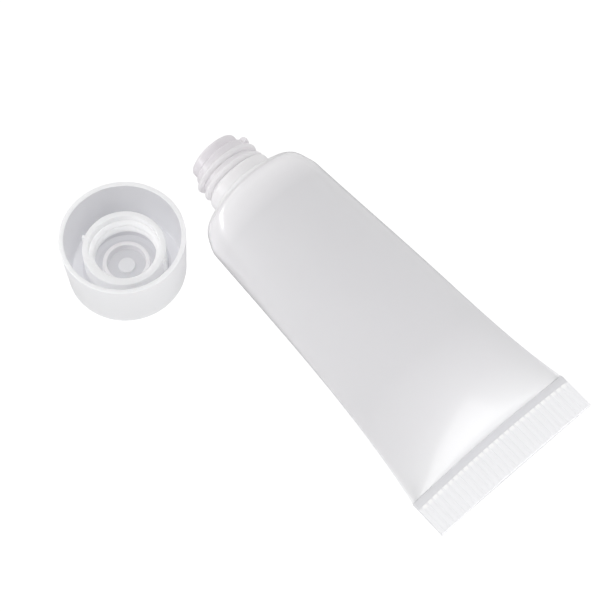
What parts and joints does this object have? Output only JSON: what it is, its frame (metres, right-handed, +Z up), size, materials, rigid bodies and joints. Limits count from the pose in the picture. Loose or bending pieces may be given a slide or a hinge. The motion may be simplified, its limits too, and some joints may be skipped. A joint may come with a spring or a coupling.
{
  "type": "travel squeeze tube",
  "caption": "Small soft translucent squeeze tube with a threaded nozzle and a crimped tail, lying on its side beside its double-wall screw cap.",
  "frame": {"origin": "on the surface that the tube and its cap lie on, below the middle of the whole object's box", "axes": "+Z up; +X along the lying tube, from its nozzle to its crimped tail; the cap stands on the -Y side"},
  "size_m": [0.074, 0.0436, 0.0189],
  "materials": {
    "sleeve": "natural translucent polyethylene, satin",
    "head": "natural translucent polyethylene, moulded, semi-gloss",
    "cap": "natural translucent polypropylene, fine matt"
  },
  "bodies": {
    "root": {"tube_sleeve": "sleeve", "threaded_head": "head", "screw_cap": "cap"}
  },
  "joints": []
}
